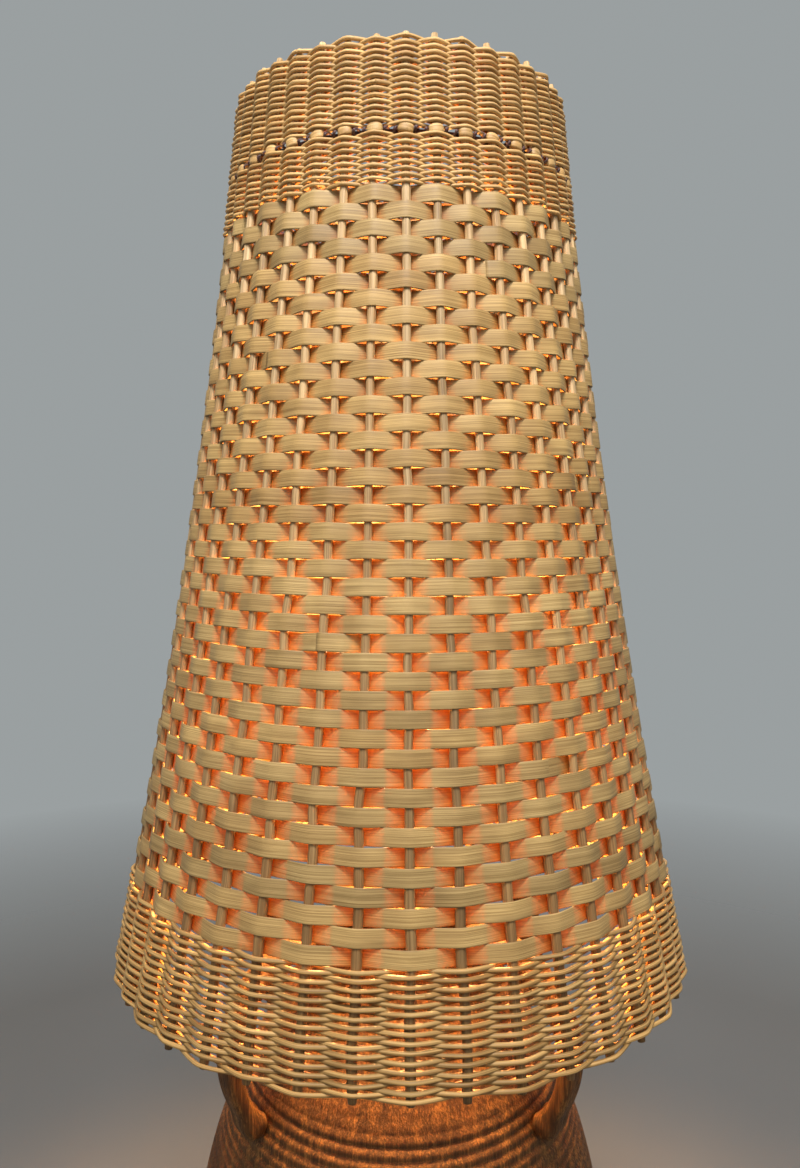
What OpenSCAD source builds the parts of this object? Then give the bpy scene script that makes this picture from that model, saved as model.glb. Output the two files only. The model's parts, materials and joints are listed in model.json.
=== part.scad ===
// Floor lamp: a stoneware jug with four ear handles carries a tall woven cane shade.
// The shade hangs by a dropped spider on the stud of a harp, over a globe bulb.
// Millimetres, +Z up, origin on the floor under the middle of the jug, front towards -Y.

/* [Shade] */
// Width across the bottom rim
shade_bottom_d = 416; // [404:2:428]
// Width across the top rim
shade_top_d = 236; // [230:2:250]
// Height from rim to rim
shade_h = 600; // [590:5:620]
// How far the side bows in from a straight cone
side_bow = 7; // [4:0.5:10]
// Number of upright stakes, odd so that one weaver alternates from row to row
stake_count = 41; // [37:2:43]
// Thickness of a stake
stake_d = 5.2; // [4.6:0.1:5.4]
// How far the stakes stand out past the last row at each rim
stake_tip = 3; // [1:0.5:5]

/* [Weave] */
// Height of the round reed border at the bottom
lower_reed_h = 66; // [50:1:80]
// Height of the flat cane weave
flat_weave_h = 443; // [430:1:450]
// Height of the round reed weave below the seam
upper_reed_h = 32; // [24:1:36]
// Height of the lashed seam under the top border
seam_h = 4; // [3:0.5:6]
// Rows in the bottom border
lower_rows = 28; // [20:1:32]
// Rows of flat cane
flat_rows = 42; // [36:1:46]
// Rows of reed below the seam
upper_rows = 16; // [10:1:20]
// Rows in the top border
top_rows = 29; // [20:1:34]
// Thickness of the round reed
reed_d = 2.4; // [2:0.1:2.8]
// Thickness of the flat cane
cane_t = 1; // [0.8:0.1:1.4]

/* [Jug] */
// Height of the jug over its lip
jug_h = 575; // [570:1:580]
// Width of the belly
belly_d = 307; // [300:1:315]
// Height of the widest place
belly_z = 300; // [290:1:305]
// Width of the neck under the lip
neck_d = 100; // [98:1:104]
// Width of the foot
foot_d = 198; // [180:2:210]
// Thickness of the stoneware
jug_wall = 9; // [8:0.5:10]
// Depth of the throwing grooves
groove_depth = 1.2; // [0.6:0.1:1.6]
// Distance from one throwing groove to the next
groove_pitch = 13.5; // [12:0.5:15]

/* [Handles] */
// Width of a strap handle
strap_w = 24; // [20:1:28]
// Thickness of a strap handle
strap_t = 13; // [11:0.5:14]
// Bend radius of a strap, along its middle
strap_bend = 66.6; // [65:0.2:68]
// How far forward or back each handle points from the sideways line
strap_azimuth = 38; // [36:1:46]

/* [Fitting] */
// Diameter of the threaded stem
stem_d = 10; // [9:0.1:11]
// Globe bulb's diameter
globe_d = 95; // [80:1:95]
// Height of the harp above its saddle
harp_h = 380; // [375:1:385]
// Width of the harp between its wires' middles
harp_w = 140; // [130:1:150]
// Thickness of the harp's wire
harp_wire_d = 4; // [3:0.2:4.2]

/* [Hidden] */

$fn = 96;
fit = 0.15;                     // clearance between pieces that only lie beside each other
run_fit = 0.07;                 // radial clearance of pieces that turn or slide on each other

// Heights
felt_t = 3;
shade_z = jug_h - 35;
cap_z = jug_h + 2;
clamp_z = jug_h - 37;
saddle_z = jug_h + 65;
holder_z = saddle_z + 2;
contact_z = holder_z + 22;
bulb_z = contact_z + 3;
globe_z = bulb_z + 138 - globe_d / 2;
harp_top_z = saddle_z + harp_h;
hub_z = harp_top_z + 10;

// Shade
weave_t = stake_d / 2 + reed_d;
lower_top = lower_reed_h;
flat_top = lower_top + flat_weave_h;
upper_top = flat_top + upper_reed_h;
seam_top = upper_top + seam_h;
ring_d = 5;
ring_h = upper_top + seam_h / 2;
ring_r = stake_r(ring_h) - stake_d / 2 - ring_d / 2 - 2 * fit;
arm_d = 4;
arm_foot_r = 24;

// Radius of the stakes' middles at height h above the bottom rim.
function stake_r(h) =
    let (t = h / shade_h)
    shade_bottom_d / 2 + (shade_top_d - shade_bottom_d) / 2 * t - 4 * side_bow * t * (1 - t) - weave_t;

// Radius of the jug's outside at height z: one parabola above the belly and one below it.
function jug_r(z) = z > belly_z
    ? belly_d / 2 - (belly_d - neck_d) / 2 * pow((z - belly_z) / (neck_z - belly_z), 2)
    : belly_d / 2 - (belly_d - foot_d) / 2 * pow((belly_z - z) / (belly_z - felt_t), 2);

// Jug
neck_z = jug_h - 25;
mouth_r = 39;
lip_r = neck_d / 2 + 6;
groove_low = belly_z + 40;
groove_high = jug_h - 105;
profile_step = groove_pitch / 3;
profile_steps = floor((neck_z - 8 - felt_t) / profile_step);
foot_ring_w = 20;
foot_recess = 5;
floor_t = 12;
foot_top = 58;
neck_low = 500;
inlet_z = 38;
inlet_r = 6.5;
inlet_slope = atan((jug_r(inlet_z + 5) - jug_r(inlet_z - 5)) / 10);

// ---- helpers ----

module tube(r_out, r_in, z, h) {
    translate([0, 0, z]) difference() {
        cylinder(r = r_out, h = h);
        translate([0, 0, -1]) cylinder(r = r_in, h = h + 2);
    }
}

// Straight round bar between two points.
module rod(a, b, d) {
    v = b - a;
    translate(a)
        rotate([0, acos(v[2] / norm(v)), atan2(v[1], v[0])])
            cylinder(d = d, h = norm(v), $fn = 32);
}

// Round wire bent on a circle in the XZ plane, from one angle to another.
module wire_arc(centre, r, from, to, d) {
    translate([centre[0], 0, centre[1]])
        rotate([90, 0, 0])
            rotate([0, 0, from])
                rotate_extrude(angle = to - from, $fn = 180)
                    translate([r, 0]) circle(d = d, $fn = 32);
}

// ---- jug ----

// Outside of the jug from the foot to the lip, with grooves of the given depth.
function jug_outside(depth) = concat(
    [[0, felt_t], [foot_d / 2 - 2, felt_t]],
    [for (i = [1 : profile_steps])
        let (z = felt_t + i * profile_step, grooved = i % 3 == 0 && z > groove_low && z < groove_high)
        [jug_r(z) - (grooved ? depth : 0), z]],
    [[neck_d / 2 - 1, neck_z + 1], [neck_d / 2 - 2, neck_z + 6], [neck_d / 2 - 1, neck_z + 12],
     [lip_r - 2, jug_h - 8], [lip_r, jug_h - 5], [lip_r - 1, jug_h - 1], [lip_r - 3, jug_h], [0, jug_h]]);

module jug_inside() {
    inner_z = felt_t + floor_t;
    top_z = neck_z - 2;
    polygon(concat(
        [[0, inner_z]],
        [for (i = [0 : 24]) let (z = inner_z + (top_z - inner_z) * i / 24) [jug_r(z) - jug_wall, z]],
        [[mouth_r, neck_z + 4], [mouth_r, jug_h - 3], [mouth_r + 3, jug_h + 1], [0, jug_h + 1]]));
}

module at_inlet() {
    translate([0, jug_r(inlet_z), inlet_z]) rotate([-90 - inlet_slope, 0, 0]) children();
}

// One thrown section of the jug. The sections are luted together before firing.
module jug_section(low, high) {
    rotate_extrude() intersection() {
        difference() {
            polygon(jug_outside(groove_depth));
            jug_inside();
            translate([0, felt_t - 1]) square([foot_d / 2 - foot_ring_w, foot_recess + 1]);
        }
        translate([0, low]) square([belly_d, high - low]);
    }
}

module jug_foot() {
    color([0.20, 0.13, 0.09]) difference() {
        jug_section(felt_t, foot_top);
        at_inlet() translate([0, 0, -jug_wall - 8]) cylinder(r = inlet_r, h = jug_wall + 16);
    }
}

module jug_belly() { color([0.21, 0.135, 0.095]) jug_section(foot_top, neck_low); }
module jug_neck() { color([0.20, 0.13, 0.09]) jug_section(neck_low, jug_h); }

strap_centre = [77.4, jug_h - 83.7];
strap_low = -51;
strap_high = 122;
thumb_r = 15;

module strap_section() {
    corner = 3;
    difference() {
        union() {
            square([strap_t - 2 * corner, strap_w], center = true);
            square([strap_t, strap_w - 2 * corner], center = true);
            for (x = [-1, 1], y = [-1, 1])
                translate([x * (strap_t / 2 - corner), y * (strap_w / 2 - corner)])
                    circle(r = corner, $fn = 32);
        }
        translate([strap_t / 2 + 3, 0]) circle(r = 5, $fn = 32);
    }
}

// One pulled strap, luted on under the lip and pressed to a thumb-shaped end on the shoulder.
module ear_handle(azimuth) {
    color([0.22, 0.14, 0.10]) rotate([0, 0, azimuth]) difference() {
        union() {
            translate([strap_centre[0], 0, strap_centre[1]])
                rotate([90, 0, 0]) rotate([0, 0, strap_low])
                    rotate_extrude(angle = strap_high - strap_low, $fn = 144)
                        translate([strap_bend, 0]) strap_section();
            translate([strap_centre[0] + strap_bend * cos(strap_low), 0,
                       strap_centre[1] + strap_bend * sin(strap_low)])
                sphere(r = thumb_r, $fn = 48);
        }
        rotate_extrude() polygon(jug_outside(0));
    }
}

module handle_front_right() { ear_handle(-strap_azimuth); }
module handle_back_right() { ear_handle(strap_azimuth); }
module handle_back_left() { ear_handle(180 - strap_azimuth); }
module handle_front_left() { ear_handle(strap_azimuth - 180); }

module felt_ring() {
    color([0.16, 0.15, 0.14]) tube(foot_d / 2 - 3, foot_d / 2 - foot_ring_w + 1, 0, felt_t);
}

module cable_grommet() {
    flange_t = 2;
    inner_gap = 1.2;
    color([0.08, 0.08, 0.08]) at_inlet() difference() {
        union() {
            translate([0, 0, fit]) cylinder(r = inlet_r + 4, h = flange_t);
            translate([0, 0, -jug_wall - inner_gap]) cylinder(r = inlet_r - fit, h = jug_wall + inner_gap + 1);
            translate([0, 0, -jug_wall - inner_gap - flange_t]) cylinder(r = inlet_r + 3, h = flange_t);
        }
        translate([0, 0, -jug_wall - 10]) cylinder(r = 3.6, h = jug_wall + 20);
    }
}

// ---- metalwork in the jug's mouth ----

module mouth_gasket() {
    color([0.15, 0.13, 0.12]) tube(lip_r - 3, mouth_r + 4, jug_h, cap_z - jug_h);
}

module mouth_cap() {
    cap_r = lip_r + 4;
    color([0.72, 0.55, 0.28]) rotate_extrude() polygon([
        [stem_d / 2 + fit, cap_z], [lip_r + 1.6, cap_z], [lip_r + 1.6, jug_h - 4], [cap_r, jug_h - 4],
        [cap_r, cap_z + 1], [cap_r - 1, cap_z + 2.4], [cap_r - 3, cap_z + 3], [22, cap_z + 4],
        [18, cap_z + 7], [stem_d / 2 + fit, cap_z + 7]]);
}

module clamp_bar() {
    color([0.55, 0.56, 0.58]) difference() {
        translate([-48, -11, clamp_z - 5]) cube([96, 22, 5]);
        translate([0, 0, clamp_z - 6]) cylinder(r = stem_d / 2 + fit, h = 7);
    }
}

washer_t = 1.5;
nut_h = 5;
top_washer_z = cap_z + 7;
low_washer_z = clamp_z - 5 - washer_t;

module stem_tube() {
    color([0.70, 0.66, 0.55])
        tube(stem_d / 2, stem_d / 2 - 1.6, low_washer_z - nut_h - 8, holder_z + 10 - (low_washer_z - nut_h - 8));
}

module stem_washers() {
    color([0.68, 0.68, 0.70])
        for (z = [low_washer_z, top_washer_z])
            tube(stem_d / 2 + 6, stem_d / 2 + fit, z, washer_t);
}

module stem_nuts() {
    color([0.74, 0.60, 0.34])
        for (z = [low_washer_z - nut_h, top_washer_z + washer_t])
            translate([0, 0, z]) difference() {
                cylinder(d = stem_d + 7, h = nut_h, $fn = 6);
                translate([0, 0, -1]) cylinder(r = stem_d / 2, h = nut_h + 2);
            }
}

module neck_spacer() {
    z = top_washer_z + washer_t + nut_h;
    color([0.72, 0.55, 0.28]) tube(stem_d / 2 + 4, stem_d / 2 + fit, z, saddle_z - z);
}

// ---- lamp holder ----

ferrule_x = 32;
ferrule_bore_r = 4.6;
prong_h = 34;
foot_x = ferrule_x + 1.2;

module harp_saddle() {
    prong_t = 2;
    prong_x = foot_x - harp_wire_d / 2 - prong_t;
    color([0.72, 0.55, 0.28]) difference() {
        union() {
            translate([-prong_x - prong_t, -7, saddle_z]) cube([2 * (prong_x + prong_t), 14, 2]);
            for (side = [-1, 1])
                translate([side * (prong_x + prong_t / 2) - prong_t / 2, -3, saddle_z])
                    cube([prong_t, 6, prong_h]);
        }
        translate([0, 0, saddle_z - 1]) cylinder(r = stem_d / 2 + fit, h = 4);
    }
}

module holder_cap() {
    color([0.74, 0.57, 0.30]) rotate_extrude() polygon([
        [stem_d / 2 + fit, holder_z], [14, holder_z], [19, holder_z + 5], [20.5, holder_z + 12],
        [20.5, holder_z + 20], [19, holder_z + 20], [19, holder_z + 12], [17.5, holder_z + 6],
        [13.5, holder_z + 2], [stem_d / 2 + fit, holder_z + 2]]);
}

module holder_shell() {
    color([0.74, 0.57, 0.30]) rotate_extrude() polygon([
        [17.2, holder_z + 20], [20.5, holder_z + 20], [20.5, holder_z + 22], [19.5, holder_z + 24],
        [19.5, holder_z + 48], [20.5, holder_z + 50], [20.5, holder_z + 52], [17.2, holder_z + 52]]);
}

module holder_insulator() {
    color([0.92, 0.91, 0.87]) difference() {
        union() {
            translate([0, 0, holder_z + 12]) cylinder(r = 16.5, h = 10);
            tube(17, 14.4, contact_z, 28);
        }
        for (side = [-1, 1])
            translate([side * 10.5, 0, holder_z + 11]) cylinder(r = 1.6, h = 5, $fn = 32);
    }
}

// The threads of the holder and of the bulb's cap are rings with clearance between them.
module holder_screw_shell() {
    rings = 6;
    pitch = 3.63;
    color([0.80, 0.64, 0.34]) rotate_extrude() polygon(concat(
        [[14.3, contact_z + 25], [14.3, contact_z + 2]],
        [for (i = [0 : rings - 1]) each [
            [13.2, contact_z + 2 + i * pitch],
            [13.8, contact_z + 2 + (i + 0.5) * pitch]]],
        [[13.2, contact_z + 25]]));
}

module holder_centre_contact() {
    color([0.80, 0.62, 0.32]) {
        translate([0, 0, contact_z]) cylinder(r = 5, h = 1);
        translate([0, 0, contact_z + 1]) cylinder(r = 2.5, h = bulb_z - contact_z - 1);
    }
}

module holder_side_contact() {
    color([0.80, 0.62, 0.32]) translate([9, -2, contact_z]) cube([3.4, 4, 1.5]);
}

module holder_terminal_screws() {
    color([0.80, 0.68, 0.42])
        for (side = [-1, 1])
            translate([side * 10.5, 0, holder_z + 9]) difference() {
                union() {
                    cylinder(r = 2.6, h = 3, $fn = 32);
                    translate([0, 0, 3]) cylinder(r = 1.5, h = 3.5, $fn = 32);
                }
                translate([-3, -0.4, -1]) cube([6, 0.8, 2]);
            }
}

// ---- globe bulb ----

module bulb_tip() {
    color([0.78, 0.76, 0.72]) translate([0, 0, bulb_z]) {
        cylinder(r = 4.5, h = 1.5);
        translate([0, 0, 1.5]) cylinder(r1 = 4.5, r2 = 3, h = 1.5);
    }
}

module bulb_insulator() {
    color([0.07, 0.07, 0.08]) translate([0, 0, bulb_z + 3]) cylinder(r1 = 4, r2 = 11, h = 3);
}

module bulb_cap() {
    rings = 5;
    pitch = 3.63;
    z = bulb_z + 6;
    color([0.82, 0.70, 0.42]) rotate_extrude() polygon(concat(
        [[10.6, z]],
        [for (i = [0 : rings - 1]) each [
            [12.4, z + 0.5 + i * pitch],
            [13, z + 0.5 + (i + 0.5) * pitch]]],
        [[12.4, z + 0.5 + rings * pitch], [12.4, z + 22], [10.6, z + 22]]));
}

// Half section of the globe and its neck, r being the globe's radius.
function globe_section(r, neck) =
    let (join = -56, steps = 18)
    concat(
        [[0, bulb_z + 28], [neck, bulb_z + 28], [neck, bulb_z + 36]],
        [for (i = [0 : steps - 1]) let (a = join + (90 - join) * i / steps)
            [r * cos(a), globe_z + r * sin(a)]],
        [[0, globe_z + r]]);

module bulb_glass() {
    glass_t = 1;
    color([0.98, 0.93, 0.84]) rotate_extrude() difference() {
        polygon(globe_section(globe_d / 2, 12.6));
        polygon(globe_section(globe_d / 2 - glass_t, 12.6 - glass_t));
    }
}

module bulb_stem() {
    z = bulb_z + 24;
    color([0.90, 0.92, 0.93]) {
        translate([0, 0, z]) cylinder(r1 = 9, r2 = 4, h = 14);
        translate([0, 0, z + 14]) cylinder(r = 2.2, h = globe_z - z - 24);
    }
}

module bulb_filament() {
    wires = 6;
    reach = 11;
    z = globe_z - 10;
    color([0.95, 0.72, 0.35])
        for (i = [0 : wires - 1])
            rotate([0, 0, i * 360 / wires])
                rod([reach * 0.4, 0, z + fit], [reach, 0, z + 18], 0.8);
}

// ---- harp ----

foot_z = saddle_z + 15;
bow_r = harp_w / 2;
knee_z = foot_z + 32;
shoulder_z = knee_z + (bow_r - foot_x) * 0.85;
arch_z = harp_top_z - bow_r;
bend_d = harp_wire_d + 0.4;     // the wire is a little fuller where it is bent

module harp_half(side) {
    mirror([side < 0 ? 1 : 0, 0, 0]) {
        rod([foot_x, 0, foot_z], [foot_x, 0, knee_z], harp_wire_d);
        translate([foot_x, 0, knee_z]) sphere(d = bend_d, $fn = 32);
        rod([foot_x, 0, knee_z], [bow_r, 0, shoulder_z], harp_wire_d);
        translate([bow_r, 0, shoulder_z]) sphere(d = bend_d, $fn = 32);
        rod([bow_r, 0, shoulder_z], [bow_r, 0, arch_z], harp_wire_d);
    }
}

module harp_arch(d) { wire_arc([0, arch_z], bow_r, 0, 180, d); }

module harp_bow() {
    color([0.76, 0.60, 0.32]) {
        harp_half(1);
        harp_half(-1);
        harp_arch(harp_wire_d);
    }
}

stud_r = 3.1;

module harp_stud() {
    color([0.76, 0.60, 0.32]) difference() {
        union() {
            translate([0, 0, harp_top_z - 4]) cylinder(r = 6, h = 10);
            translate([0, 0, harp_top_z + 5]) cylinder(r = 9, h = 3);
            translate([0, 0, harp_top_z + 8]) cylinder(r = stud_r, h = 19);
        }
        harp_arch(harp_wire_d + 2 * run_fit);
    }
}

module harp_ferrule(side) {
    color([0.76, 0.60, 0.32]) translate([side * ferrule_x, 0, 0])
        rotate_extrude($fn = 64) polygon([
            [ferrule_bore_r, saddle_z + 18], [6, saddle_z + 18], [6.6, saddle_z + 19],
            [6.6, saddle_z + 21], [6, saddle_z + 22], [6, saddle_z + 36], [ferrule_bore_r, saddle_z + 36]]);
}

module harp_ferrule_left() { harp_ferrule(-1); }
module harp_ferrule_right() { harp_ferrule(1); }

// ---- spider and finial ----

module seat_washer() {
    color([0.74, 0.58, 0.32]) tube(14, stud_r + run_fit, hub_z - 2, 2);
}

module spider_hub() {
    color([0.70, 0.54, 0.30]) tube(19, stud_r + run_fit, hub_z, 2);
}

module spider_ring_solid(d) {
    translate([0, 0, shade_z + ring_h]) rotate_extrude($fn = 144) translate([ring_r, 0]) circle(d = d, $fn = 32);
}

module spider_arms() {
    arm_z = hub_z + 2 + arm_d / 2;
    color([0.70, 0.54, 0.30]) difference() {
        for (i = [0 : 2])
            rotate([0, 0, 90 + i * 120]) {
                rod([10, 0, arm_z], [arm_foot_r, 0, arm_z], arm_d);
                translate([arm_foot_r, 0, arm_z]) sphere(d = arm_d, $fn = 32);
                rod([arm_foot_r, 0, arm_z], [ring_r, 0, shade_z + ring_h], arm_d);
            }
        spider_ring_solid(ring_d);
    }
}

module spider_ring() {
    color([0.28, 0.16, 0.16]) spider_ring_solid(ring_d);
}

finial_base_z = hub_z + 2;

module finial_insert() {
    color([0.78, 0.62, 0.34]) difference() {
        translate([0, 0, finial_base_z]) cylinder(r = 5, h = 18);
        translate([0, 0, finial_base_z - 1]) cylinder(r = stud_r + run_fit, h = 17.5);
    }
}

module finial_knob() {
    color([0.50, 0.32, 0.18]) rotate_extrude() difference() {
        union() {
            translate([0, finial_base_z]) square([7.5, 6]);
            intersection() {
                translate([0, finial_base_z + 17]) circle(r = 13);
                translate([0, finial_base_z + 4]) square([14, 28]);
            }
        }
        translate([0, finial_base_z - 1]) square([5 + run_fit, 19.2]);
    }
}

// ---- woven shade ----

// Upright canes on one gentle arc, from past the bottom rim to past the top rim.
module shade_stakes() {
    low = [stake_r(-stake_tip), -stake_tip];
    high = [stake_r(shade_h + stake_tip), shade_h + stake_tip];
    chord = norm(high - low);
    lean = atan((low[0] - high[0]) / (high[1] - low[1]));
    mid = (low + high) / 2;
    sag = (mid[0] - stake_r(shade_h / 2)) * cos(lean);
    arc_r = (chord * chord / 4 + sag * sag) / (2 * sag);
    half = asin(chord / 2 / arc_r);
    centre = mid + (arc_r - sag) * [cos(lean), sin(lean)];
    color([0.66, 0.53, 0.34])
        for (i = [0 : stake_count - 1])
            rotate([0, 0, -90 + i * 360 / stake_count])
                translate([centre[0], 0, shade_z + centre[1]])
                    rotate([90, 0, 0]) rotate([0, 0, 180 + lean - half])
                        rotate_extrude(angle = 2 * half, $fn = 1080)
                            translate([arc_r, 0]) circle(d = stake_d, $fn = 24);
}

// Weave between two heights above the rim: a thin wall outside the stakes with a rib for each row.
module woven_wall(low, high, rows, strand_t) {
    pitch = (high - low) / rows;
    steps = max(2, ceil((high - low) / 50));
    inner = stake_d / 2 + fit;
    valley = stake_d / 2 + strand_t * 0.6;
    crown = stake_d / 2 + strand_t;
    translate([0, 0, shade_z]) rotate_extrude($fn = 164) polygon(concat(
        [for (i = [0 : rows - 1]) let (h = low + i * pitch) each [
            [stake_r(h) + valley, h],
            [stake_r(h + pitch / 2) + crown, h + pitch / 2]]],
        [[stake_r(high) + valley, high]],
        [for (i = [steps : -1 : 0]) let (h = low + (high - low) * i / steps) [stake_r(h) + inner, h]]));
}

module lower_reed_weave() { color([0.72, 0.60, 0.38]) woven_wall(0, lower_top, lower_rows, reed_d); }
module flat_cane_weave() { color([0.70, 0.56, 0.36]) woven_wall(lower_top, flat_top, flat_rows, 1.6 * cane_t); }
module upper_reed_weave() { color([0.76, 0.62, 0.42]) woven_wall(flat_top, upper_top, upper_rows, reed_d); }
module seam_lashing() { color([0.26, 0.15, 0.15]) woven_wall(upper_top, seam_top, 2, cane_t); }
module top_reed_weave() { color([0.80, 0.66, 0.46]) woven_wall(seam_top, shade_h, top_rows, reed_d); }

jug_foot();
jug_belly();
jug_neck();
handle_front_right();
handle_back_right();
handle_back_left();
handle_front_left();
felt_ring();
cable_grommet();
mouth_gasket();
mouth_cap();
clamp_bar();
stem_tube();
stem_nuts();
stem_washers();
neck_spacer();
harp_saddle();
holder_cap();
holder_shell();
holder_insulator();
holder_screw_shell();
holder_centre_contact();
holder_side_contact();
holder_terminal_screws();
bulb_tip();
bulb_cap();
bulb_insulator();
bulb_glass();
bulb_stem();
bulb_filament();
harp_bow();
harp_stud();
harp_ferrule_left();
harp_ferrule_right();
seat_washer();
spider_hub();
spider_arms();
spider_ring();
shade_stakes();
lower_reed_weave();
flat_cane_weave();
upper_reed_weave();
seam_lashing();
top_reed_weave();
finial_insert();
finial_knob();
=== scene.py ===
import json
import math

import bmesh
import bpy
import numpy as np
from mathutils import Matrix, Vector


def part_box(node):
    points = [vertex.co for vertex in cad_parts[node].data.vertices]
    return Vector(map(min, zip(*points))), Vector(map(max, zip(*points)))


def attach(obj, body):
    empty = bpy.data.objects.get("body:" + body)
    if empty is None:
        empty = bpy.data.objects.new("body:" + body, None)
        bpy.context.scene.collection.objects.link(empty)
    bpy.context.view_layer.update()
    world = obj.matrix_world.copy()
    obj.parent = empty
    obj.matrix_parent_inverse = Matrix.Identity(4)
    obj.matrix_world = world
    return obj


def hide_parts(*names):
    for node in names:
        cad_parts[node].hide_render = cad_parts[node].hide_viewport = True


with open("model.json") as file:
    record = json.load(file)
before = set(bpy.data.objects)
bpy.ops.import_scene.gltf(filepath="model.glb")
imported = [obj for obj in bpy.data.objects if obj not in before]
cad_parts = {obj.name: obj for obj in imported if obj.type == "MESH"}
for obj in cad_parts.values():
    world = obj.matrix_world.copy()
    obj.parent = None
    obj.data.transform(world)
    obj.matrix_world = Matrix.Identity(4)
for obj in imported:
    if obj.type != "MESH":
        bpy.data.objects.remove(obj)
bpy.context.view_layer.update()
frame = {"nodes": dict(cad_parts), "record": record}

# Looks of the floor lamp: strands woven round the shade's stakes, thrown stoneware, aged brass,
# light, floor and camera. Metres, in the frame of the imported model. The front is -Y.

RNG = np.random.default_rng(41)

STAKES = 41
STAKE_R = 0.0026
FIRST_STAKE = math.radians(-90 + 1.6)   # azimuth of the stake nearest the front
LOW_REED_R = 0.00147
HIGH_REED_R = 0.00129
REED_SQUASH = 0.7                       # share of a reed's radius that is left where it presses on a stake
CANE_T = 0.0010
CANE_LAP = 0.0002                       # how far a flat row overlaps the next
CANE_SPREAD = 0.0004                    # how much wider a flat row is on each side behind a stake
CLIMB = 0.14                            # share of a turn, at the back, in which a row climbs to the next
SPLICE = 1.3                            # how many stakes a length runs on behind the start of the next
TUCK_RUN = 0.5                          # in how many stakes its end drops behind the next length
TUCK_DEPTH = 2.1                        # how deep it drops, in half thicknesses
FLAT_ROWS = 42
REED_ROWS = {"lower_reed_weave": 28, "upper_reed_weave": 16, "top_reed_weave": 29}
STAKE_SWELL = 0.18                      # how much thicker a stake is at its foot
SWELL_TOP_Z = 0.74
SWELL_HEIGHT = 0.14
TIP_CUTS = (0.0005, 0.0022)             # the least and the most that a stake's tips are cut short
FOOT_TRIM = 0.0011                      # how much further all the stakes are cut at the bottom
RING_LIFT = -0.0026                     # the carrying ring's middle, inside the stakes' middles
LASH_TURNS = 3                          # turns of the lashing for each stake
LASH_REACH = (0.0052, 0.0022)           # how far a turn goes out from the ring, and up
LASH_HALF = (0.0011, 0.0006)            # half its width and half its thickness
KNUCKLE_LIFT = 0.0012
KNUCKLE_HALF = (0.0047, 0.0029, 0.0034)     # sideways, outward and up
MESH_ROOM = 90000                       # most vertices that one object of a strand holds, or nearly so


def span(node):
    """Lowest and highest z of a CAD node."""
    low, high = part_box(node)
    return low.z, high.z


def side_of(node):
    """Radius of the stakes' middles as a quadratic in z, fitted to the CAD stakes."""
    mesh = frame["nodes"][node].data
    co = np.empty(len(mesh.vertices) * 3)
    mesh.vertices.foreach_get("co", co)
    co = co.reshape(-1, 3)
    return np.polyfit(co[:, 2], np.hypot(co[:, 0], co[:, 1]), 2)


SIDE = side_of("shade_stakes")
SIDE_SLOPE = np.polyder(SIDE)


# ---------------------------------------------------------------- mesh helpers

def mesh_object(name, verts, faces, smooth=True, attributes=None):
    """Mesh from vertex and face arrays, with point attributes of one or three floats."""
    mesh = bpy.data.meshes.new(name)
    mesh.from_pydata(np.asarray(verts).tolist(), [], faces)
    mesh.update()
    mesh.polygons.foreach_set("use_smooth", [smooth] * len(mesh.polygons))
    for key, values in (attributes or {}).items():
        values = np.asarray(values, dtype=np.float32)
        kind = "FLOAT_VECTOR" if values.ndim == 2 else "FLOAT"
        layer = mesh.attributes.new(key, kind, "POINT")
        layer.data.foreach_set("vector" if values.ndim == 2 else "value", values.ravel())
    obj = bpy.data.objects.new(name, mesh)
    bpy.context.scene.collection.objects.link(obj)
    return obj


def unit(v):
    return v / np.linalg.norm(v, axis=-1, keepdims=True)


def tube_faces(rings, sides, start=0, closed=False):
    """Quads of a tube, with its two end caps unless it closes on itself."""
    faces = []
    for i in range(rings if closed else rings - 1):
        a = start + i * sides
        b = start + (i + 1) % rings * sides
        for j in range(sides):
            k = (j + 1) % sides
            faces.append((a + j, a + k, b + k, b + j))
    if not closed:
        last = start + (rings - 1) * sides
        faces.append(tuple(start + j for j in reversed(range(sides))))
        faces.append(tuple(last + j for j in range(sides)))
    return faces


def sweep(points, across, shape):
    """Vertices of a section carried along points. shape is (rings, sides, 2): across, outward."""
    tangent = unit(np.gradient(points, axis=0))
    outward = unit(np.cross(tangent, across))
    across = np.cross(outward, tangent)
    verts = points[:, None, :] + across[:, None, :] * shape[..., 0:1] + outward[:, None, :] * shape[..., 1:2]
    return verts.reshape(-1, 3)


def smooth_step(x):
    x = np.clip(x, 0, 1)
    return x * x * (3 - 2 * x)


def wander(at, size):
    """Smooth random drift along positions that start at 0: a random value per whole position."""
    values = RNG.normal(0, size, int(np.max(at)) + 3)
    low = np.floor(at).astype(int)
    t = smooth_step(at - low)
    return values[low] * (1 - t) + values[low + 1] * t


def oval(count):
    """Points round a unit circle, as across and outward."""
    turn = np.linspace(0, 2 * math.pi, count, endpoint=False)
    return np.stack([np.sin(turn), np.cos(turn)], axis=-1)


# ---------------------------------------------------------------- woven shade

def on_shade(angle, z, lift):
    """Point on the shade: lift is the distance out from the stakes' middles."""
    slope = np.polyval(SIDE_SLOPE, z)
    lean = 1 / np.sqrt(1 + slope ** 2)
    r = np.polyval(SIDE, z) + lift * lean
    return np.stack([r * np.cos(angle), r * np.sin(angle), z - lift * slope * lean], axis=-1)


def up_side(angle, z):
    """Direction up the side of the shade."""
    slope = np.polyval(SIDE_SLOPE, z)
    return unit(np.stack([slope * np.cos(angle), slope * np.sin(angle), np.ones_like(z)], axis=-1))


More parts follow.
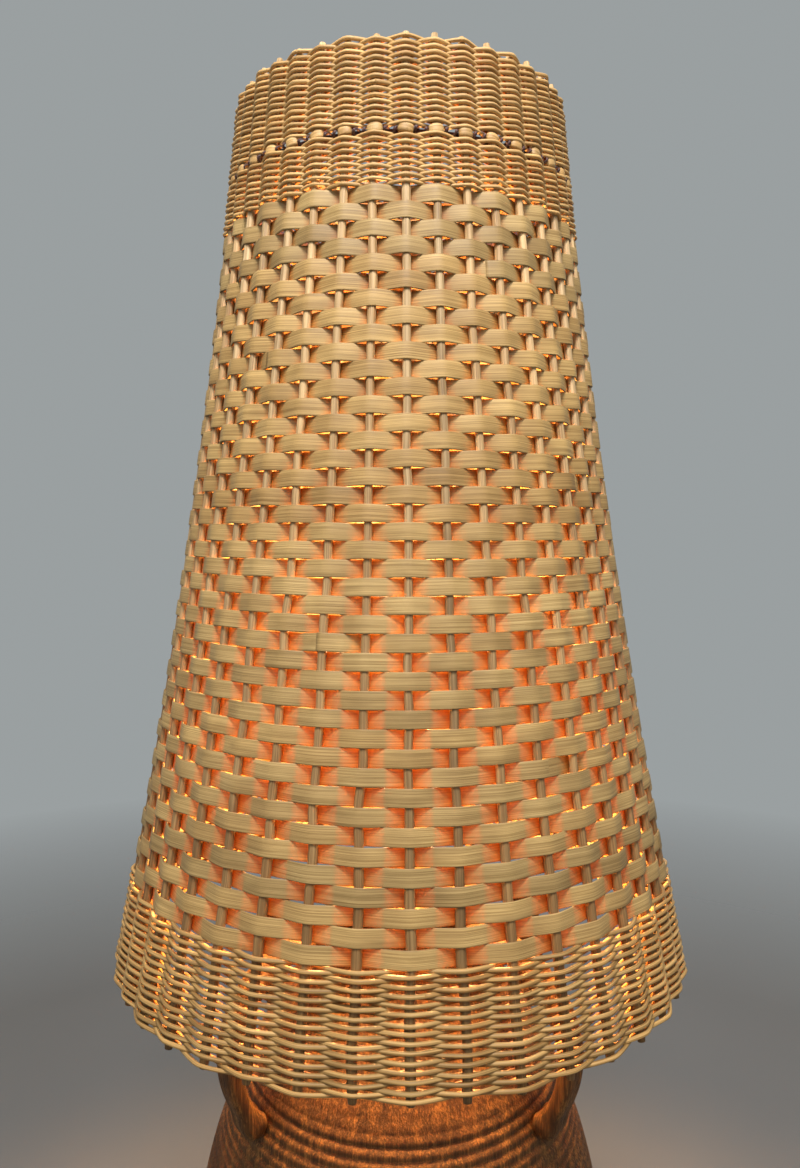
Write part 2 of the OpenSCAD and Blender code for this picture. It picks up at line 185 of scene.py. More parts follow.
def row_height(n, rows, low, high):
    """Middle height and share of a full row at position n, counted in stakes from the weave's start.

    A row is level for most of its turn and climbs to the next one at the back. The strand is
    tapered in the first and the last climb, so that the weave starts and ends on a level edge.
    """
    pitch = (high - low) / rows
    turn = np.minimum(n / STAKES, rows - 1e-6)
    row = np.floor(turn)
    climb = smooth_step((turn - row - (1 - CLIMB)) / CLIMB)
    middle = low + pitch * (row + 0.5 + climb)
    share = np.ones_like(n)
    first = n < 0
    share[first] = climb[first]
    middle[first] = low + pitch * share[first] / 2
    last = turn > rows - CLIMB
    share[last] = 1 - climb[last]
    middle[last] = high - pitch * share[last] / 2
    return middle, share


CANE_ACROSS = np.array([-1, -0.97, -0.86, 0, 0.86, 0.97, 1, 0.97, 0.86, 0, -0.86, -0.97])
CANE_FACE = np.array([0, 0.8, 0.98, 1.03, 0.98, 0.8, 0, -0.8, -0.98, -1.0, -0.98, -0.8])


def cane_section(half_t, width, wave, at):
    """Flat cane, a little thinner at its edges and crowned on its face."""
    half_w = (width + CANE_LAP) / 2 * (1 + wander(at, 0.012)) + CANE_SPREAD * np.clip(-wave, 0, 1)
    return np.stack([CANE_ACROSS * half_w[:, None], np.tile(CANE_FACE * half_t, (len(at), 1))], axis=-1)


def reed_section(half_t, width, wave, at):
    """Round reed, a little oval and never quite the same thickness."""
    size = half_t * np.clip(width / np.max(width), 0.3, 1) * (1 + wander(at, 0.05))
    return oval(8) * size[:, None, None] * np.array([0.94, 1.0])


def woven_strand(name, node, rows, half_t, section, press, lengths, drift, crease):
    """A weaver that passes before and behind the stakes, row after row, in spliced lengths.

    press is how near its middle comes to a stake's surface. lengths is the least and the most
    stakes that one length passes. A crease near 1 makes the strand cross between the stakes at
    a steady slope and bend sharply at each one. Returns a few objects.
    """
    samples = 8
    low, high = span(node)
    pitch = (high - low) / rows
    begin, end = -CLIMB * STAKES, rows * STAKES
    back = math.pi * (STAKES + 1) / STAKES      # the weave starts half a turn from the first stake
    cuts = [begin]
    while cuts[-1] < end:
        cuts.append(cuts[-1] + RNG.uniform(*lengths))
    cuts[-1] = end
    batches = []
    for first, last in zip(cuts[:-1], cuts[1:]):
        overlap = SPLICE if last < end else 0
        n = np.arange(round(first * samples), round((last + overlap) * samples) + 1) / samples
        at = n - n[0]
        middle, share = row_height(n, rows, low, high)
        wave = np.arcsin(crease * np.cos(math.pi * n)) / math.asin(crease) * (1 + wander(at, 0.05))
        tuck = smooth_step((n - last) / TUCK_RUN) if overlap else np.zeros_like(n)
        angle = FIRST_STAKE + back + 2 * math.pi * n / STAKES
        z = middle + wander(at, drift)
        points = on_shade(angle, z, (stake_r(z) + press) * wave - tuck * half_t * TUCK_DEPTH)
        shape = section(half_t, pitch * share, wave, at)
        run = np.concatenate([[0], np.cumsum(np.linalg.norm(np.diff(points, axis=0), axis=1))])
        tone = RNG.random()
        ring = shape.shape[1]
        strand = np.stack([np.repeat(run + tone * 37, ring), shape[..., 0].ravel(),
                           np.full(len(n) * ring, tone)], axis=-1)
        batches.append((sweep(points, up_side(angle, z), shape), len(n), ring, strand,
                        np.repeat(wave - tuck, ring)))
    share_out = math.ceil(len(batches) / math.ceil(sum(len(b[0]) for b in batches) / MESH_ROOM))
    objects = []
    for i in range(0, len(batches), share_out):
        group = batches[i:i + share_out]
        faces, start = [], 0
        for verts, rings, ring, _, _ in group:
            faces += tube_faces(rings, ring, start)
            start += len(verts)
        attributes = {"strand": np.concatenate([b[3] for b in group]),
                      "lift": np.concatenate([b[4] for b in group])}
        part = f"{name}_{len(objects) + 1}"
        objects.append(mesh_object(part, np.concatenate([b[0] for b in group]), faces, attributes=attributes))
    return objects


def stake_r(z):
    """Radius of a stake, which is thicker towards its foot."""
    return STAKE_R * (1 + STAKE_SWELL * smooth_step((SWELL_TOP_Z - z) / SWELL_HEIGHT))


def make_stakes():
    """Upright canes, each a little uneven, with cut tips past both rims."""
    low, high = span("shade_stakes")
    rings, sides = 100, 12
    verts, faces, strand = [], [], []
    for i in range(STAKES):
        cut = RNG.uniform(*TIP_CUTS)
        at = np.linspace(0, 24, rings)
        z = np.linspace(low + FOOT_TRIM + cut / 2, high - cut, rings)
        angle = FIRST_STAKE + 2 * math.pi * i / STAKES + wander(at, 0.0004) / np.polyval(SIDE, z)
        points = on_shade(angle, z, wander(at, 0.0001))
        size = stake_r(z) * (1 + wander(at, 0.02))
        size[[0, -1]] *= 0.75
        sideways = np.stack([-np.sin(angle), np.cos(angle), np.zeros(rings)], axis=-1)
        shape = oval(sides) * size[:, None, None]
        verts.append(sweep(points, sideways, shape))
        faces += tube_faces(rings, sides, i * rings * sides)
        tone = RNG.random()
        strand.append(np.stack([np.repeat(z + tone * 11, sides), shape[..., 0].ravel(),
                                np.full(rings * sides, tone)], axis=-1))
    return mesh_object("stakes", np.concatenate(verts), faces, attributes={"strand": np.concatenate(strand)})


def make_lashing():
    """Dark cane wound at a slant round the carrying ring."""
    low, high = span("seam_lashing")
    mid_z = (low + high) / 2
    turns = STAKES * LASH_TURNS
    count = turns * 16
    t = np.linspace(0, 1, count, endpoint=False)
    wind = 2 * math.pi * turns * t
    angle = FIRST_STAKE + 2 * math.pi * t
    lift = RING_LIFT + LASH_REACH[0] * np.cos(wind)
    z = mid_z + LASH_REACH[1] * np.sin(wind) + 0.0004 * np.sin(wind * 0.31)
    points = on_shade(angle, z, lift)
    tangent = unit(np.roll(points, -1, axis=0) - np.roll(points, 1, axis=0))
    outward = unit(points - on_shade(angle, np.full(count, mid_z), np.full(count, RING_LIFT)))
    across = np.cross(tangent, outward)
    side = oval(8) * np.array(LASH_HALF)
    verts = points[:, None, :] + across[:, None, :] * side[:, 0:1] + outward[:, None, :] * side[:, 1:2]
    strand = np.stack([np.repeat(t * STAKES * 0.05, 8), np.tile(side[:, 0], count),
                       np.repeat(np.floor(t * turns) * 0.37 % 1, 8)], axis=-1)
    return mesh_object("seam_winding", verts.reshape(-1, 3), tube_faces(count, 8, closed=True),
                       attributes={"strand": strand})


def make_knuckles():
    """A short fat turn of cane over each stake at the seam, which holds the border down."""
    low, high = span("seam_lashing")
    mid_z = (low + high) / 2
    rings, sides = 15, 14
    verts, faces, strand = [], [], []
    for i in range(STAKES):
        t = np.linspace(-1, 1, rings)
        bulge = np.sqrt(1 - t ** 4 * 0.96)
        angle = np.full(rings, FIRST_STAKE + 2 * math.pi * i / STAKES)
        z = mid_z + t * KNUCKLE_HALF[2] * RNG.uniform(0.9, 1.1)
        points = on_shade(angle + t * RNG.uniform(-0.010, 0.010), z, np.full(rings, KNUCKLE_LIFT))
        sideways = np.stack([-np.sin(angle), np.cos(angle), np.zeros(rings)], axis=-1)
        size = np.array(KNUCKLE_HALF[:2])
        shape = oval(sides) * (bulge[:, None, None] * size * RNG.uniform(0.94, 1.06))
        verts.append(sweep(points, sideways, shape))
        faces += tube_faces(rings, sides, i * rings * sides)
        tone = RNG.random()
        strand.append(np.stack([shape[..., 0].ravel() + tone * 3, np.repeat(z - mid_z, sides),
                                np.full(rings * sides, tone)], axis=-1))
    attributes = {"strand": np.concatenate(strand)}
    return mesh_object("seam_knuckles", np.concatenate(verts), faces, attributes=attributes)


# ---------------------------------------------------------------- stoneware

FOOT_Z = span("jug_foot")[0]
LIP_Z = span("jug_neck")[1]
BELLY_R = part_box("jug_belly")[1].x
BELLY_Z = 0.300
NECK_Z = LIP_Z - 0.025
NECK_R = 0.050
FOOT_R = 0.099
RIDGE_PITCH = 0.0068
RIDGE_START = 0.0022
FAINT_RIDGE = 0.0004                    # depth of the grooves on the belly
STRONG_RIDGE = 0.0013                   # how much deeper they are on the shoulder
RIDGES_END = 0.4585                     # above it the shoulder was smoothed
WALL_T = 0.009


def jug_radius(z):
    """Smooth outside of the jug: one parabola above the belly and one below it."""
    above = BELLY_R - (BELLY_R - NECK_R) * ((z - BELLY_Z) / (NECK_Z - BELLY_Z)) ** 2
    below = BELLY_R - (BELLY_R - FOOT_R) * ((BELLY_Z - z) / (BELLY_Z - FOOT_Z)) ** 2
    return np.where(z > BELLY_Z, above, below)


def throwing_ridges(z):
    """Rounded rings left by the potter's fingers: strong on the shoulder, faint on the belly."""
    wave = np.abs(np.sin(math.pi * (z - RIDGE_START) / RIDGE_PITCH)) ** 0.6
    strong = smooth_step((z - BELLY_Z) / 0.08) * smooth_step((RIDGES_END - z) / 0.008)
    fade = smooth_step((z - 0.02) / 0.02)
    return (wave - 1) * (FAINT_RIDGE + STRONG_RIDGE * strong) * fade


def make_jug():
    """The jug as one closed outline turned about Z: foot ring, outside, lip and inside."""
    foot = [(0.0, 0.005), (-0.022, 0.005), (-0.020, 0.004), (-0.0195, 0.0005), (-0.019, 0), (-0.003, 0),
            (-0.0008, 0.0008)]
    lip = [(-0.0016, -0.023), (-0.002, -0.018), (-0.0005, -0.013), (0.0025, -0.0095), (0.0052, -0.0065),
           (0.0058, -0.0035), (0.0048, -0.001), (0.002, 0), (-0.006, 0), (-0.0095, -0.002), (-0.011, -0.006),
           (-0.011, -0.023)]
    outside_z = np.concatenate([np.linspace(FOOT_Z + 0.002, BELLY_Z, 90, endpoint=False),
                                np.linspace(BELLY_Z, RIDGES_END, 190, endpoint=False),
                                np.linspace(RIDGES_END, NECK_Z - 0.006, 45)])
    inside_z = np.linspace(NECK_Z - 0.006, FOOT_Z + 0.014, 40)
    profile = [(max(0.0, FOOT_R + r) if r else 0.0, FOOT_Z + z) for r, z in foot]
    profile += zip(jug_radius(outside_z) + throwing_ridges(outside_z), outside_z)
    profile += [(NECK_R + r, LIP_Z + z) for r, z in lip]
    profile += zip(jug_radius(inside_z) - WALL_T, inside_z)
    profile += [(0.080, FOOT_Z + 0.0125), (0.0, FOOT_Z + 0.012)]
    r, z = np.array(profile, dtype=float).T
    steps = 240
    angle = np.linspace(0, 2 * math.pi, steps, endpoint=False)[None, :]
    tall = z[:, None]
    uneven = 0.0005 * np.sin(2 * angle + 1.1 + 6 * tall) + 0.0003 * np.sin(3 * angle + 31 * tall)
    uneven = uneven * smooth_step((LIP_Z - 0.03 - tall) / 0.05) * smooth_step((tall - FOOT_Z - 0.02) / 0.03)
    reach = r[:, None] + np.where(r[:, None] > 0, uneven, 0)
    high = np.broadcast_to(tall, reach.shape)
    verts = np.stack([reach * np.cos(angle), reach * np.sin(angle), high], axis=-1)
    faces = tube_faces(len(r), steps)[:-2]
    obj = mesh_object("jug", verts.reshape(-1, 3), faces)
    clean = bmesh.new()
    clean.from_mesh(obj.data)
    bmesh.ops.remove_doubles(clean, verts=clean.verts, dist=1e-7)
    bmesh.ops.recalc_face_normals(clean, faces=clean.faces)
    clean.to_mesh(obj.data)
    clean.free()
    return obj


STRAP_CENTRE_R = 0.0774
STRAP_CENTRE_Z = LIP_Z - 0.0837
STRAP_BEND = 0.0666
STRAP_HALF = (0.0120, 0.0065)           # half its width and half its thickness
STRAP_START = 124                       # degrees up from level at which its arc begins
STRAP_ARC = 177
STRAP_AZIMUTH = 38                      # degrees forward or back from the sideways line, as in the CAD


def make_handle(name, azimuth):
    """One pulled strap from under the lip to a thumb-shaped end pressed onto the shoulder."""
    sides, rings = 40, 130
    corner = oval(sides)
    section = np.sign(corner) * np.abs(corner) ** 0.7
    channel = np.exp(-(section[:, 0] / 0.32) ** 2) * np.where(section[:, 1] > 0, 0.36, 0.10)
    section[:, 1] -= np.sign(section[:, 1]) * channel
    t = np.linspace(0, 1, rings)
    bend = np.radians(STRAP_START - STRAP_ARC * t)
    belly = np.sin(math.pi * t)
    thumb = np.exp(-((t - 0.955) / 0.055) ** 2)
    r = STRAP_CENTRE_R + STRAP_BEND * np.cos(bend) + wander(t * 9, 0.0004) * belly + 0.003 * thumb
    z = STRAP_CENTRE_Z + STRAP_BEND * np.sin(bend)
    points = np.stack([r, wander(t * 9, 0.0006) * belly, z], axis=-1)
    root = np.exp(-(t / 0.09) ** 2)
    closing = np.sqrt(np.clip(1 - (np.clip(t - 0.94, 0, 1) / 0.0605) ** 2, 0, 1))
    wide = STRAP_HALF[0] * (1 + 0.10 * thumb + 0.30 * root - 0.05 * belly) * closing
    thick = STRAP_HALF[1] * (1 + 0.55 * thumb + 0.35 * root - 0.04 * belly) * closing
    shape = section * np.stack([wide, thick], axis=-1)[:, None, :]
    verts = sweep(points, np.tile([0.0, -1.0, 0.0], (rings, 1)), shape)
    turn = np.array([[math.cos(azimuth), math.sin(azimuth), 0], [-math.sin(azimuth), math.cos(azimuth), 0],
                     [0, 0, 1]])
    return mesh_object(name, verts @ turn, tube_faces(rings, sides))


# ---------------------------------------------------------------- globe

def make_globe():
    """Opal glass blown to a ball and drawn down into its neck. Also gives the ball's middle height."""
    low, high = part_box("bulb_glass")
    ball_r = high.x
    centre_z = high.z - ball_r
    neck_r = 0.0128
    z = low.z + (high.z - low.z) * (1 - np.cos(np.linspace(0, math.pi, 70))) / 2
    ball = np.sqrt(np.clip(ball_r ** 2 - (z - centre_z) ** 2, 0, None))
    neck = neck_r * np.clip((centre_z - z) / (centre_z - low.z), 0, 1) ** 0.3
    r = (ball ** 4 + neck ** 4) ** 0.25
    sides = 96
    turn = oval(sides)
    tall = np.broadcast_to(z[:, None, None], (len(z), sides, 1))
    verts = np.concatenate([r[:, None, None] * turn, tall], axis=-1)
    globe = mesh_object("opal_globe", verts.reshape(-1, 3), tube_faces(len(z), sides))
    globe.visible_shadow = False
    return globe, centre_z


# ---------------------------------------------------------------- materials

class Shader:
    """A new material, with short ways to add nodes and join them."""

    def __init__(self, name):
        self.mat = bpy.data.materials.new(name)
        self.mat.use_nodes = True
        self.tree = self.mat.node_tree
        self.bsdf = self.tree.nodes["Principled BSDF"]
        self.out = self.tree.nodes["Material Output"]

    def put(self, node, key, value):
        socket = node.inputs[key]
        if isinstance(value, bpy.types.NodeSocket):
            self.tree.links.new(value, socket)
        elif isinstance(value, tuple) and len(value) == 3 and socket.type == "RGBA":
            socket.default_value = (*value, 1)
        else:
            socket.default_value = value

    def add(self, kind, values, **settings):
        node = self.tree.nodes.new("ShaderNode" + kind)
        for key, value in settings.items():
            setattr(node, key, value)
        for key, value in values.items():
            self.put(node, key, value)
        return node

    def set(self, **values):
        """Values or links for the Principled shader, with _ for each space in a socket's name."""
        for key, value in values.items():
            self.put(self.bsdf, key.replace("_", " "), value)

    def maths(self, operation, a, b=0.0):
        return self.add("Math", {0: a, 1: b}, operation=operation).outputs[0]

    def here(self):
        return self.add("TexCoord", {}).outputs["Object"]

    def height(self):
        return self.add("SeparateXYZ", {0: self.here()}).outputs[2]

    def attribute(self, name):
        return self.add("Attribute", {}, attribute_name=name)

    def scaled(self, vector, scale):
        return self.add("Mapping", {"Vector": vector, "Scale": scale}).outputs[0]

    def noise(self, vector, scale, detail=3.0, rough=0.55):
        values = {"Vector": vector, "Scale": scale, "Detail": detail, "Roughness": rough}
        return self.add("TexNoise", values).outputs["Fac"]

    def ramp(self, fac, stops):
        node = self.add("ValToRGB", {"Fac": fac})
        elements = node.color_ramp.elements
        while len(elements) < len(stops):
            elements.new(0.5)
        for element, (place, colour) in zip(elements, stops):
            element.position = place
            element.color = (*colour, 1)
        return node.outputs["Color"]

    def level(self, value, low, high, to_low=0.0, to_high=1.0):
        values = {"Value": value, "From Min": low, "From Max": high, "To Min": to_low, "To Max": to_high}
        return self.add("MapRange", values, clamp=True).outputs[0]

    def mix(self, fac, a, b, blend="MIX"):
        node = self.add("Mix", {}, data_type="RGBA", blend_type=blend)
        for key, value in ((0, fac), (6, a), (7, b)):
            self.put(node, key, value)
        return node.outputs[2]

    def bump(self, height, strength, distance, normal=None):
        values = {"Height": height, "Strength": strength, "Distance": distance}
        if normal is not None:
            values["Normal"] = normal
        return self.add("Bump", values).outputs["Normal"]


def dimmer(colour, by):
    return tuple(c * b for c, b in zip(colour, by))


# Painted shade: darkens a strand to a deeper orange where it passes behind a stake.
PAINTED_HOLLOW_SHADE = (1.0, 0.60, 0.27)         # what the light between the strands does to a strand's colour


def cane(name, pale, dark, fibre, edge, glow=None, through=0.0, painted_low_shade=None):
    """Cane with fibres along the strand, a tone for each length, and light that comes through, with painted
    shade where it passes behind a stake.

    fibre is the width of a fibre and edge is where the strand's edge starts to darken, in metres.
    glow is the colour of the light that comes through, and through is its share behind a stake; a painted
    shade lowers that share towards the top of the shade.
    painted_low_shade is painted shade: what the cane's colour is multiplied by, low on the shade.
    """
    s = Shader(name)
    split = s.add("SeparateXYZ", {0: s.attribute("strand").outputs["Vector"]})
    along, across, tone = split.outputs

    def strand_noise(along_scale, across_scale, detail):
        place = s.add("CombineXYZ", {"X": s.maths("MULTIPLY", along, along_scale),
                                     "Y": s.maths("MULTIPLY", across, across_scale),
                                     "Z": s.maths("MULTIPLY", tone, 91.0)})
        return s.noise(place.outputs[0], 1.0, detail, 0.62)

    grain = s.maths("ADD", s.maths("MULTIPLY", strand_noise(14.0, 1 / fibre, 4.0), 0.7),
                    s.maths("MULTIPLY", strand_noise(6.0, 0.3 / fibre, 2.0), 0.3))
    patch = strand_noise(28.0, 120.0, 2.0)
    base = s.mix(s.level(grain, 0.42, 0.59), dark, pale)
    tint = s.ramp(tone, [(0.0, (0.80, 0.78, 0.72)), (0.35, (1.0, 0.98, 0.92)), (0.7, (1.06, 1.0, 0.88)),
                         (1.0, (0.90, 0.82, 0.70))])
    base = s.mix(1.0, base, tint, "MULTIPLY")
    ageing = s.ramp(strand_noise(17.0, 20.0, 2.0),
                    [(0.34, (0.86, 0.79, 0.72)), (0.64, (1.22, 1.19, 1.15))])
    base = s.mix(1.0, base, ageing, "MULTIPLY")
    base = s.mix(s.level(patch, 0.52, 0.8, 0.0, 0.45), base, dimmer(dark, (0.75, 0.68, 0.60)))
    rim = s.level(s.maths("ABSOLUTE", across), edge, edge * 1.25, 0.0, 0.35)
    base = s.mix(rim, base, dimmer(dark, (0.55, 0.50, 0.45)))
    # Painted shade: the cane gets darker towards the bottom of the shade.
    if painted_low_shade:
        base = s.mix(s.level(s.height(), 0.64, 1.00, 1.0, 0.0), base, painted_low_shade, "MULTIPLY")
    if glow:
        lift = s.attribute("lift").outputs["Fac"]
        # Painted shade, deeper orange, where the strand passes behind a stake.
        base = s.mix(s.level(lift, -0.85, -0.2, 1.0, 0.0), base, PAINTED_HOLLOW_SHADE, "MULTIPLY")
        bright = dimmer(glow, (1, 1.25, 1.4))
        leak = s.add("BsdfTranslucent", {"Color": s.mix(s.level(grain, 0.3, 0.8), glow, bright)})
        share = s.level(lift, -0.10, 0.10, through, 0.004)
        # Painted shade: less of the light comes through the cane towards the top of the shade.
        share = s.maths("MULTIPLY", share, s.level(s.height(), 0.72, 0.93, 1.0, 0.2))
        joined = s.add("MixShader", {0: share, 1: s.bsdf.outputs[0], 2: leak.outputs[0]})
        s.put(s.out, "Surface", joined.outputs[0])
    s.set(Base_Color=base, Roughness=s.level(grain, 0.25, 0.75, 0.42, 0.66), Specular_IOR_Level=0.38,
          Normal=s.bump(grain, 0.35, 0.0004))
    return s.mat


def stoneware(name):
    """Matte brown clay with combed hair-like streaks, speckle, and rust where the slip is thin."""
    s = Shader(name)
    at = s.here()
    streak = s.noise(s.scaled(at, (800.0, 800.0, 26.0)), 1.0, 4.0, 0.7)
    broad = s.noise(s.scaled(at, (150.0, 150.0, 9.0)), 1.0, 3.0, 0.6)
    cloud = s.noise(at, 14.0, 4.0, 0.6)
    speck = s.noise(at, 900.0, 2.0, 0.5)
    mixed = s.maths("ADD", s.maths("MULTIPLY", streak, 0.6), s.maths("MULTIPLY", broad, 0.4))
    base = s.ramp(mixed, [(0.32, (0.018, 0.009, 0.004)), (0.50, (0.100, 0.043, 0.010)),
                          (0.66, (0.37, 0.160, 0.034))])
    base = s.mix(s.level(cloud, 0.45, 0.75, 0.0, 0.5), base, (0.150, 0.054, 0.013))
    base = s.mix(s.level(speck, 0.66, 0.74, 0.0, 0.6), base, (0.02, 0.014, 0.01))
    s.set(Base_Color=base, Roughness=s.level(streak, 0.3, 0.7, 0.78, 0.55), Specular_IOR_Level=0.3,
          Normal=s.bump(broad, 0.35, 0.0012, s.bump(streak, 0.55, 0.0012)))
    return s.mat


def metal(name, colour, tarnish, rough, amount):
    """Worn metal: fine scratches, and a tarnish that gathers in clouds."""
    s = Shader(name)
    at = s.here()
    cloud = s.noise(at, 60.0, 4.0, 0.6)
    scratch = s.noise(s.scaled(at, (300.0, 300.0, 2400.0)), 1.0, 3.0, 0.7)
    s.set(Base_Color=s.mix(s.level(cloud, 0.4, 0.75, 0.0, amount), colour, tarnish), Metallic=1.0,
          Roughness=s.level(scratch, 0.3, 0.75, rough, rough + 0.2), Normal=s.bump(scratch, 0.08, 0.0002))
    return s.mat


def clouded(name, colour, other, scale, rough, grit, coat=0.0, spec=0.5):
    """A stuff that varies a little, such as rubber, felt or porcelain. grit is its bump, in metres."""
    s = Shader(name)
    at = s.here()
    cloud = s.noise(at, scale, 5.0, 0.6)
    s.set(Base_Color=s.mix(s.level(cloud, 0.35, 0.7), colour, other), Specular_IOR_Level=spec,
          Coat_Weight=coat, Roughness=s.level(cloud, 0.3, 0.7, rough, rough + 0.12),
          Normal=s.bump(s.noise(at, scale * 9), 0.4, grit))
    return s.mat


def turned_wood(name):
    """Oiled wood with growth rings cut across by the turning, and open pores."""
    s = Shader(name)
    at = s.here()
    rings = s.add("TexWave", {"Vector": s.scaled(at, (1.0, 1.0, 0.22)), "Scale": 90.0, "Distortion": 5.0,
                              "Detail": 3.0}, wave_type="RINGS").outputs["Fac"]
    fibre = s.noise(s.scaled(at, (900.0, 900.0, 60.0)), 1.0)
    base = s.mix(rings, (0.20, 0.095, 0.042), (0.32, 0.17, 0.08))
    s.set(Base_Color=s.mix(s.level(fibre, 0.4, 0.8, 0.0, 0.5), base, (0.11, 0.05, 0.02)), Coat_Weight=0.25,
          Roughness=s.level(fibre, 0.3, 0.8, 0.3, 0.5), Normal=s.bump(fibre, 0.2, 0.0002))
    return s.mat


def lit(name, pale, deep, strength, scale):
    """Something that gives light, a little uneven over its surface."""
    s = Shader(name)
    cloud = s.noise(s.here(), scale)
    s.set(Base_Color=s.mix(cloud, (0.93, 0.88, 0.78), (0.98, 0.95, 0.88)), Roughness=0.28,
          Emission_Color=s.mix(cloud, deep, pale), Emission_Strength=strength)
    return s.mat


def clear_glass(name):
    s = Shader(name)
    s.set(Base_Color=s.mix(s.noise(s.here(), 200.0), (0.93, 0.95, 0.95), (0.98, 0.99, 0.98)),
          Transmission_Weight=1.0, Roughness=0.04, IOR=1.5)
    return s.mat


# ---------------------------------------------------------------- pieces

def dress(objects, material, body, slot, *nodes):
    """Gives new pieces their material and the body they ride on, and hides the CAD nodes they stand for."""
    for obj in objects:
        obj.data.materials.append(material)
        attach(obj, body)
        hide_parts(*nodes)


CANE_FLAT = cane("flat_cane", pale=(0.465, 0.333, 0.148), dark=(0.238, 0.156, 0.057),
                 fibre=0.00028, edge=0.0044, glow=(1.0, 0.32, 0.035), through=0.130)
REED_TOP = cane("top_reed", pale=(0.60, 0.41, 0.185), dark=(0.31, 0.19, 0.070),
                fibre=0.00030, edge=0.0020, glow=(1.0, 0.30, 0.04), through=0.020)
# The lower reeds are a darker copy of the top reeds' cane: painted shade for the lower zone, which gets less
# light.
REED_LOW_SHADED = cane("low_reed_painted_shade", pale=(0.48, 0.315, 0.125), dark=(0.23, 0.132, 0.042),
                fibre=0.00030, edge=0.0020, glow=(1.0, 0.32, 0.04), through=0.025)
# The stakes get a painted shade that darkens them towards the bottom of the shade.
CANE_STAKE = cane("stake_cane", pale=(0.56, 0.42, 0.240), dark=(0.30, 0.20, 0.100),
                  fibre=0.00045, edge=0.0040, painted_low_shade=(0.48, 0.40, 0.30))
CANE_DARK = cane("dark_cane", pale=(0.105, 0.050, 0.048), dark=(0.045, 0.022, 0.022),
                 fibre=0.00035, edge=0.0020)
STONEWARE = stoneware("stoneware")
OPAL_GLASS = lit("opal_glass", (1.0, 0.78, 0.40), (1.0, 0.68, 0.28), 1.6, 40.0)

flat = woven_strand("flat_weaver", "flat_cane_weave", FLAT_ROWS, CANE_T / 2, cane_section, CANE_T / 2,
                    lengths=(62, 118), drift=0.00010, crease=0.97)
dress(flat, CANE_FLAT, "shade", "cane", "flat_cane_weave")
for node, reed_r, drift, material in (("lower_reed_weave", LOW_REED_R, 0.00020, REED_LOW_SHADED),
                                      ("upper_reed_weave", HIGH_REED_R, 0.00012, REED_TOP),
                                      ("top_reed_weave", HIGH_REED_R, 0.00012, REED_TOP)):
    name = node.replace("weave", "weaver")
    press = reed_r * REED_SQUASH
    reeds = woven_strand(name, node, REED_ROWS[node], reed_r, reed_section, press,
                         lengths=(90, 190), drift=drift, crease=0.95)
    dress(reeds, material, "shade", "cane", node)
dress([make_stakes()], CANE_STAKE, "shade", "cane", "shade_stakes")
dress([make_lashing()], CANE_DARK, "shade", "lashing", "seam_lashing")
dress([make_knuckles()], REED_TOP, "shade", "cane", "seam_lashing")

dress([make_jug()], STONEWARE, "base", "stoneware", "jug_foot", "jug_belly", "jug_neck")
for node, degrees in (("handle_front_right", -STRAP_AZIMUTH), ("handle_back_right", STRAP_AZIMUTH),
                      ("handle_back_left", 180 - STRAP_AZIMUTH), ("handle_front_left", STRAP_AZIMUTH - 180)):
    dress([make_handle(node + "_strap", math.radians(degrees))], STONEWARE, "base", "stoneware", node)

globe, GLOBE_Z = make_globe()
dress([globe], OPAL_GLASS, "bulb_tip", "bulb_glass", "bulb_glass")

FINISHES = {
    "brass": metal("aged_brass", (0.60, 0.40, 0.16), (0.22, 0.13, 0.06), 0.26, 0.6),
    "steel": metal("dull_steel", (0.52, 0.52, 0.53), (0.30, 0.27, 0.24), 0.34, 0.4),
    "felt": clouded("felt", (0.055, 0.050, 0.045), (0.085, 0.078, 0.070), 700.0, 0.85, 0.0006, spec=0.1),
    "rubber": clouded("rubber", (0.018, 0.018, 0.018), (0.035, 0.034, 0.033), 90.0, 0.6, 0.0002, spec=0.35),
    "porcelain": clouded("porcelain", (0.80, 0.79, 0.74), (0.86, 0.85, 0.81), 50.0, 0.12, 0.00005, coat=0.6),
    "bulb_insulator": clouded("black_glass", (0.012, 0.012, 0.014), (0.03, 0.03, 0.034), 80.0, 0.1, 0.00005,
                              coat=0.5),
    "lashing": clouded("bound_ring", (0.07, 0.035, 0.034), (0.12, 0.06, 0.055), 160.0, 0.6, 0.0003, spec=0.3),
    "filament": lit("lit_wire", (1.0, 0.66, 0.30), (1.0, 0.50, 0.16), 30.0, 500.0),
    "clear_glass": clear_glass("clear_glass"),
    "turned_wood": turned_wood("turned_wood"),
}
for part in frame["record"]["subparts"]:
    if part["material_slot"] in FINISHES:
        skin = frame["nodes"][part["node"]].data.materials
        skin.clear()
        skin.append(FINISHES[part["material_slot"]])

# ---------------------------------------------------------------- light, floor and camera

BULB_LIGHT = (1.0, 0.58, 0.26)
BULB_LIGHT_R = 0.040
BACKGROUND = (0.325, 0.350, 0.355, 1)
CAMERA_BACK = 0.654                     # how far in front of the lamp's axis the camera stands
CAMERA_RISE = 0.2995                    # how far it is above the shade's lower rim
CAMERA_DIP = 2.96                       # degrees that it looks down


def area_light(name, place, aim, size, power, colour):
    light = bpy.data.lights.new(name, "AREA")
    light.shape = "DISK"
    light.size = size
    light.energy = power
    light.color = colour
    obj = bpy.data.objects.new(name, light)
    obj.location = place
    obj.rotation_euler = (Vector(aim) - Vector(place)).to_track_quat("-Z", "Y").to_euler()
    bpy.context.scene.collection.objects.link(obj)


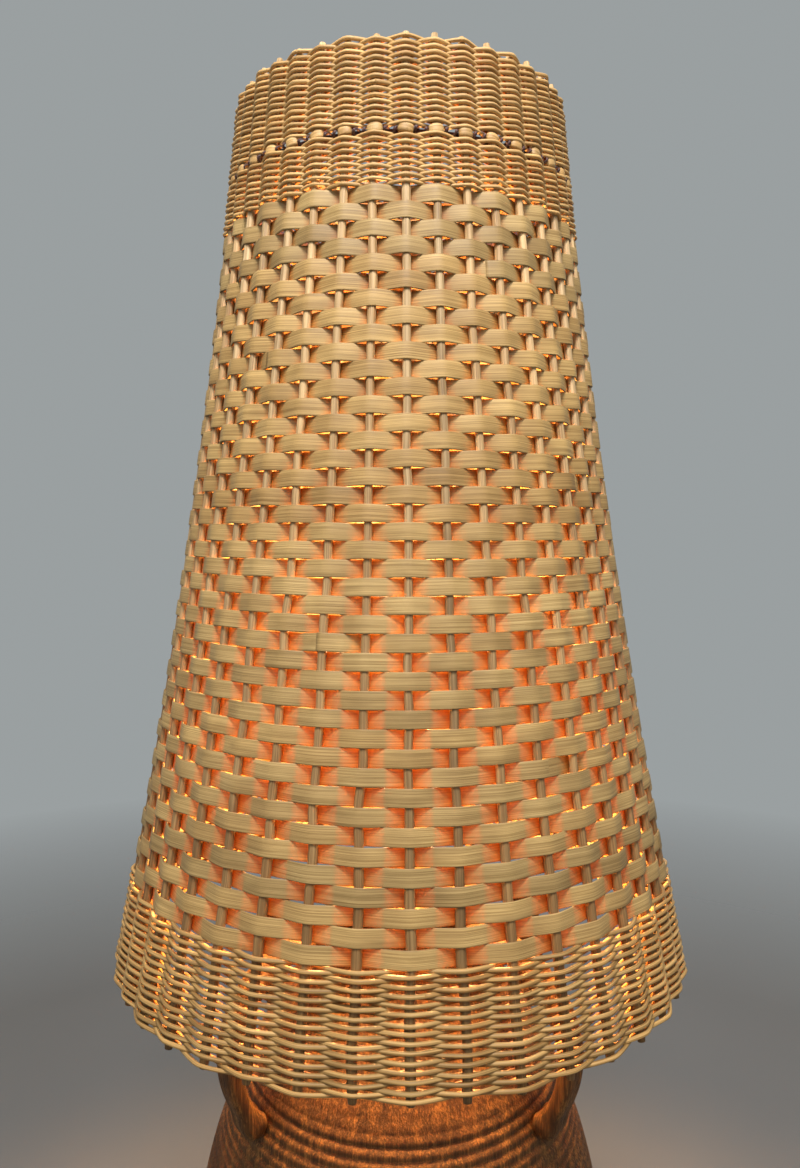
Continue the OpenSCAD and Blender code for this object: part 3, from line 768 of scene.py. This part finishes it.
def pale_floor():
    """A floor that fades into the background in a circle round the lamp."""
    s = Shader("pale_floor")
    at = s.here()
    cloud = s.noise(at, 1.5, 5.0)
    s.set(Base_Color=s.mix(cloud, (0.125, 0.118, 0.108), (0.155, 0.146, 0.134)), Roughness=0.75)
    far = s.add("VectorMath", {0: at}, operation="LENGTH").outputs["Value"]
    clear = s.add("BsdfTransparent", {})
    edge = s.add("MixShader", {0: s.level(far, 1.1, 2.3), 1: s.bsdf.outputs[0], 2: clear.outputs[0]})
    s.put(s.out, "Surface", edge.outputs[0])
    corners = [(x, y, 0) for x, y in ((-2.5, -2.5), (2.5, -2.5), (2.5, 2.5), (-2.5, 2.5))]
    floor = mesh_object("floor", corners, [(0, 1, 2, 3)], smooth=False)
    floor.data.materials.append(s.mat)


def bulb_light(name, kind, power):
    """A light just inside the bulb's glass, which rises with the bulb."""
    light = bpy.data.lights.new(name, kind)
    light.shadow_soft_size = BULB_LIGHT_R
    light.energy = power
    light.color = BULB_LIGHT
    obj = bpy.data.objects.new(name, light)
    obj.location = (0, 0, GLOBE_Z)
    obj.visible_camera = False
    bpy.context.scene.collection.objects.link(obj)
    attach(obj, "bulb_tip")
    return light


pale_floor()
bulb_light("bulb_light", "POINT", 19.0)
down = bulb_light("bulb_light_down", "SPOT", 25.0)
down.spot_size = math.radians(125)
down.spot_blend = 0.6
for side in (-1, 1):
    area_light("front", (0.95 * side, -1.85, 2.35), (0, 0, 1.0), 0.6, 14.0, (1.0, 0.96, 0.90))
area_light("over", (0, -0.85, 2.10), (0, 0, 1.12), 0.5, 33.0, (1.0, 0.97, 0.98))
area_light("back", (0.4, 2.2, 1.8), (0, 0, 0.8), 1.4, 22, (0.95, 0.97, 1.0))

world = bpy.data.worlds.new("studio")
world.use_nodes = True
world.node_tree.nodes["Background"].inputs[0].default_value = BACKGROUND
bpy.context.scene.world = world
bpy.context.scene.view_settings.view_transform = "Standard"

camera_data = bpy.data.cameras.new("camera")
camera_data.lens = 27.0
camera_data.sensor_width = 36.0
camera = bpy.data.objects.new("camera", camera_data)
camera.location = (0, -CAMERA_BACK, span("lower_reed_weave")[0] + CAMERA_RISE)
camera.rotation_euler = (math.radians(90 - CAMERA_DIP), 0, 0)
bpy.context.scene.collection.objects.link(camera)
bpy.context.scene.camera = camera
